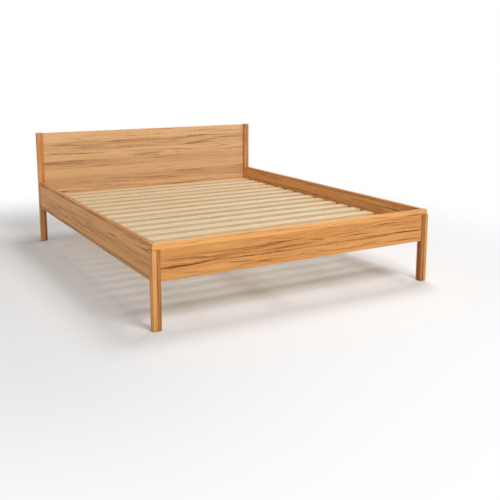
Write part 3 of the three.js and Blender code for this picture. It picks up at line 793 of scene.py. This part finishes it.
webbing = Recipe(bpy.data.materials.new("cotton_webbing"))
web_x, web_y, web_z = webbing.place()
warp = webbing.math("SINE", webbing.scaled(web_x, 2 * math.pi / 0.0021))
weft = webbing.math("SINE", webbing.scaled(web_y, 2 * math.pi / 0.0030))
weave = webbing.scaled(webbing.math("MULTIPLY", warp, weft), 0.5, 0.5)
web_yarn = webbing.noise((webbing.scaled(web_x, 2500.0), webbing.scaled(web_y, 500.0), web_z), 3.0)
web_dust = webbing.noise((webbing.scaled(web_x, 60.0), webbing.scaled(web_y, 14.0), web_z), 3.0)
web_share = webbing.total(webbing.scaled(weave, 0.45), webbing.scaled(web_yarn, 0.4),
                          webbing.scaled(web_dust, 0.5, -0.3))
web_colour = webbing.blend(web_share, (0.42, 0.37, 0.29, 1.0), (0.80, 0.75, 0.64, 1.0))
web_relief = webbing.total(weave, webbing.scaled(web_yarn, 0.5))
web_bump = webbing.node("Bump", {"Strength": 0.8, "Distance": 0.0004, "Height": web_relief})
web_gloss = webbing.scaled(web_yarn, 0.2, 0.75)
webbing.surface(webbing.node("BsdfPrincipled", {"Base Color": web_colour, "Roughness": web_gloss,
                                                "Normal": web_bump, "Sheen Weight": 0.2}))

strap_half, strap_thick, strap_sag = 0.0125, 0.0012, 0.0025
strap_profile = ((-strap_half, -0.25 * strap_thick), (-strap_half + 0.0004, -0.5 * strap_thick),
                 (strap_half - 0.0004, -0.5 * strap_thick), (strap_half, -0.25 * strap_thick),
                 (strap_half, 0.25 * strap_thick), (strap_half - 0.0004, 0.5 * strap_thick),
                 (-strap_half + 0.0004, 0.5 * strap_thick), (-strap_half, 0.25 * strap_thick))
strap_rows = 481
slat_width = slat_high[1] - slat_low[1]
slat_gap = slat_pitch - slat_width

# A staple is a round wire: down out of the slat, across the strap for 10 mm, and up again. Two
# hold the strap to each slat, staple_y from its edge.
wire = np.array([(-0.005, 0, 0.002), (-0.005, 0, 0.0), (-0.0046, 0, -0.0004), (0.0046, 0, -0.0004),
                 (0.005, 0, 0.0), (0.005, 0, 0.002)])
wire_side = np.tile((0.0, 1.0, 0.0), (len(wire), 1))
wire_up = np.array([(-1, 0, 0), (-1, 0, -0.4), (-0.4, 0, -1), (0.4, 0, -1), (1, 0, -0.4), (1, 0, 0)])
wire_profile = 0.0005 * np.array([(np.cos(a), np.sin(a)) for a in np.arange(6) * np.pi / 3])
staple = carried_profile(wire, wire_side, wire_up, wire_profile)
staple_rows, staple_steps = staple.shape[:2]
staple_y = np.array((0.022, 0.048))
staple_drop = 0.0001

for side in ("left", "right"):
    low, high = (np.array(corner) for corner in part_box(f"slat_strap_{side}"))
    middle = (low + high) / 2
    along = np.linspace(low[1], high[1], strap_rows)
    # Between two slats the strap hangs by strap_sag * sin^2(pi * share of the gap)
    place = (along - slat_low[1]) % slat_pitch - slat_width
    drop = np.where(place > 0, strap_sag * np.sin(np.pi * np.clip(place / slat_gap, 0, 1)) ** 2, 0)
    path = np.stack([np.full_like(along, middle[0]), along, middle[2] - drop], -1)
    aside = np.tile((1.0, 0.0, 0.0), (strap_rows, 1))
    above = np.tile((0.0, 0.0, 1.0), (strap_rows, 1))
    strap_points = carried_profile(path, aside, above, strap_profile)
    strap_mesh = closed_mesh(f"strap_woven_{side}", strap_points,
                             tube_faces(strap_rows, len(strap_profile)))
    strap = add_piece(strap_mesh.name, strap_mesh, "frame", [f"slat_strap_{side}"])
    dress(strap, webbing.owner)

    rows = slat_low[1] + slat_pitch * np.arange(slat_count)[:, None] + staple_y
    spots = np.stack(np.broadcast_arrays(middle[0], rows.reshape(-1), low[2] - staple_drop), -1)
    staple_points = spots[:, None, None, :] + staple[None]
    staple_faces = []
    for number in range(len(spots)):
        staple_faces += tube_faces(staple_rows, staple_steps, number * staple_rows * staple_steps)
    staple_mesh = closed_mesh(f"strap_staples_{side}", staple_points, staple_faces)
    dress(add_piece(staple_mesh.name, staple_mesh, "frame"), zinc)


# ---- Glides ----
# Discs of pressed grey-brown felt, 3 mm thick, glued under the four legs. Their edges are fuzzy
# and rounded by use.
felt = Recipe(bpy.data.materials.new("pressed_felt"))
felt_hair = felt.noise([felt.scaled(c, 1400.0) for c in felt.place()], 4.0, 0.7)
felt_cloud = felt.noise([felt.scaled(c, 160.0) for c in felt.place()], 3.0)
felt_colour = felt.blend(felt.total(felt.scaled(felt_hair, 1.1, -0.3), felt.scaled(felt_cloud, 0.4)),
                         (0.11, 0.095, 0.08, 1.0), (0.36, 0.32, 0.27, 1.0))
felt_bump = felt.node("Bump", {"Strength": 1.0, "Distance": 0.0004, "Height": felt_hair})
felt.surface(felt.node("BsdfPrincipled", {
    "Base Color": felt_colour, "Roughness": felt.scaled(felt_cloud, 0.1, 0.88), "Normal": felt_bump,
    "Sheen Weight": 0.3}))
glide_profile = ((0.0148, 0.0), (0.0157, 0.0003), (0.0160, 0.0009), (0.0160, 0.0022), (0.0158, 0.0028),
                 (0.0152, 0.0030))
glide_steps = 64
for side in ("left", "right"):
    for end in ("foot", "head"):
        low, high = (np.array(corner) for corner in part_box(f"glide_{end}_{side}"))
        # The fuzz only pulls the edge in, so that a glide keeps its width
        fuzz = np.random.default_rng(5).normal(0, 0.00008, glide_steps)
        rows = [np.full(glide_steps, radius) + np.minimum(fuzz, 0) for radius, z in glide_profile]
        glide = turned_form(f"glide_felt_{end}_{side}", rows, [z for radius, z in glide_profile],
                            "frame", [f"glide_{end}_{side}"], tuple((low + high)[:2] / 2))
        dress(glide, felt.owner)
